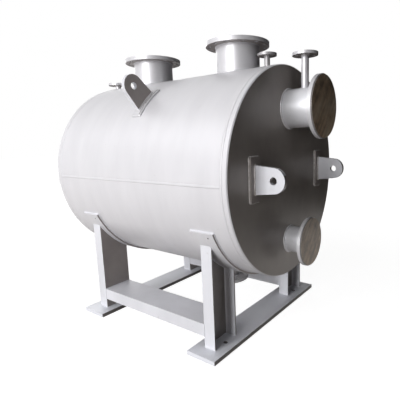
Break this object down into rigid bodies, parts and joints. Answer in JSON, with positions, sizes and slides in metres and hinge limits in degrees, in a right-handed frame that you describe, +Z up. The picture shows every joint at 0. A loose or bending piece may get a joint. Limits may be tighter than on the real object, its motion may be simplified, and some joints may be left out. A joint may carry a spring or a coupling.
{
  "type": "plate and shell heat exchanger",
  "caption": "Horizontal plate and shell heat exchanger with flat end covers, flanged nozzles, small vents and lifting lugs, on a channel saddle stand.",
  "frame": {"origin": "on the floor, under the middle of the vessel", "axes": "+X along the vessel to the front cover, +Z up"},
  "size_m": [1.914, 1.24, 1.775],
  "materials": {
    "silver_paint": "satin",
    "stainless_pack": "satin",
    "brown_transit_cover": "satin"
  },
  "bodies": {
    "root": {"bottom_nozzle_flange": "silver_paint", "bottom_nozzle_neck": "silver_paint", "front_base_plate": "silver_paint", "front_cover": "silver_paint", "front_cover_lug_pads": "silver_paint", "front_cover_lugs": "silver_paint", "front_lower_nozzle_flange": "silver_paint", "front_lower_nozzle_neck": "silver_paint", "front_lower_transit_cover": "brown_transit_cover", "front_saddle_posts": "silver_paint", "front_top_nozzle_flange": "silver_paint", "front_top_nozzle_neck": "silver_paint", "front_upper_nozzle_flange": "silver_paint", "front_upper_nozzle_neck": "silver_paint", "front_upper_transit_cover": "brown_transit_cover", "front_vent_flange": "silver_paint", "front_vent_neck": "silver_paint", "front_wear_plate": "silver_paint", "left_side_rail": "silver_paint", "plate_pack": "stainless_pack", "rear_base_plate": "silver_paint", "rear_cover": "silver_paint", "rear_cover_lug_pads": "silver_paint", "rear_cover_lugs": "silver_paint", "rear_lower_nozzle_flange": "silver_paint", "rear_lower_nozzle_neck": "silver_paint", "rear_lower_transit_cover": "brown_transit_cover", "rear_saddle_posts": "silver_paint", "rear_top_nozzle_flange": "silver_paint", "rear_top_nozzle_neck": "silver_paint", "rear_upper_nozzle_flange": "silver_paint", "rear_upper_nozzle_neck": "silver_paint", "rear_upper_transit_cover": "brown_transit_cover", "rear_vent_flange": "silver_paint", "rear_vent_neck": "silver_paint", "rear_wear_plate": "silver_paint", "right_side_rail": "silver_paint", "shell": "silver_paint", "shell_lug_pads": "silver_paint", "shell_lugs": "silver_paint", "top_vent_flange": "silver_paint", "top_vent_neck": "silver_paint"}
  },
  "joints": []
}
